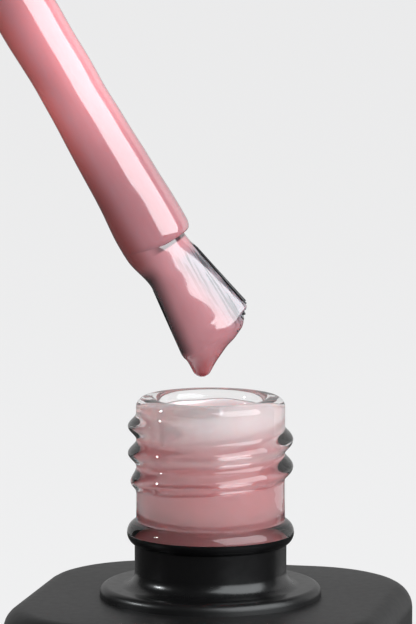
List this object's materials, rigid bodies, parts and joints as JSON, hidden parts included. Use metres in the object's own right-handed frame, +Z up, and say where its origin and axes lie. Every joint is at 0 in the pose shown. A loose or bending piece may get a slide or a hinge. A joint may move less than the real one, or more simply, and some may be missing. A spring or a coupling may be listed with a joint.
{
  "type": "nail polish bottle",
  "caption": "Square glass nail polish bottle in black lacquer with a clear threaded neck, its screw cap and loaded brush lifted out and tilted over the mouth.",
  "frame": {"origin": "centre of the flat base that the bottle stands on", "axes": "+Z up along the neck; the body's four sides face along X and Y; the brush leans towards -X, in a plane turned 12 degrees about +Z from the X axis"},
  "size_m": [0.0568, 0.0306, 0.1267],
  "materials": {
    "clear_glass": "clear flint glass, fire polished at the lip",
    "black_lacquer": "black sprayed lacquer, satin on the shoulder",
    "pink_polish": "wet glossy dusty pink gel polish",
    "label_paper": "blank coated paper",
    "cap_plastic": "satin black moulded plastic",
    "inner_plastic": "natural moulded black polypropylene",
    "liner_foam": "smooth white sealing disc",
    "stem_plastic": "smooth black moulded plastic",
    "staple_brass": "bright drawn wire",
    "black_bristle": "fine black nylon filaments"
  },
  "bodies": {
    "bottle": {"glass_bottle": "clear_glass", "lacquer_coat": "black_lacquer", "polish_fill": "pink_polish", "neck_film": "pink_polish", "base_label": "label_paper"},
    "brush_carriage": {"tuft_staple": "staple_brass"},
    "seal": {"seal_liner": "liner_foam"},
    "cap_and_brush": {"outer_cap": "cap_plastic", "inner_cap": "inner_plastic", "brush_stem": "stem_plastic", "bristle_tuft": "black_bristle", "stem_polish": "pink_polish", "tuft_polish": "pink_polish"}
  },
  "joints": [
    {"name": "brush_swing", "type": "hinge", "parent": "bottle", "child": "brush_carriage", "pos_m": [-0.08347, -0.01774, 0.03808], "axis": [0.2079, -0.9781, 0], "range_deg": [-30, 0], "deforming": ["polish_fill", "neck_film", "stem_polish", "tuft_polish", "bristle_tuft"]},
    {"name": "cap_rise", "type": "slide", "parent": "brush_carriage", "child": "seal", "axis": [-0.4891, -0.104, 0.866], "range_m": [-0.00529, 0]},
    {"name": "cap_screw", "type": "hinge", "parent": "seal", "child": "cap_and_brush", "pos_m": [-0.0038, -0.00081, 0.06768], "axis": [-0.4891, -0.104, 0.866], "range_deg": [-900, 0]}
  ],
  "couplings": [
    {"joint": "cap_screw", "follows": "cap_rise", "rad_per_m": 2968.4}
  ]
}
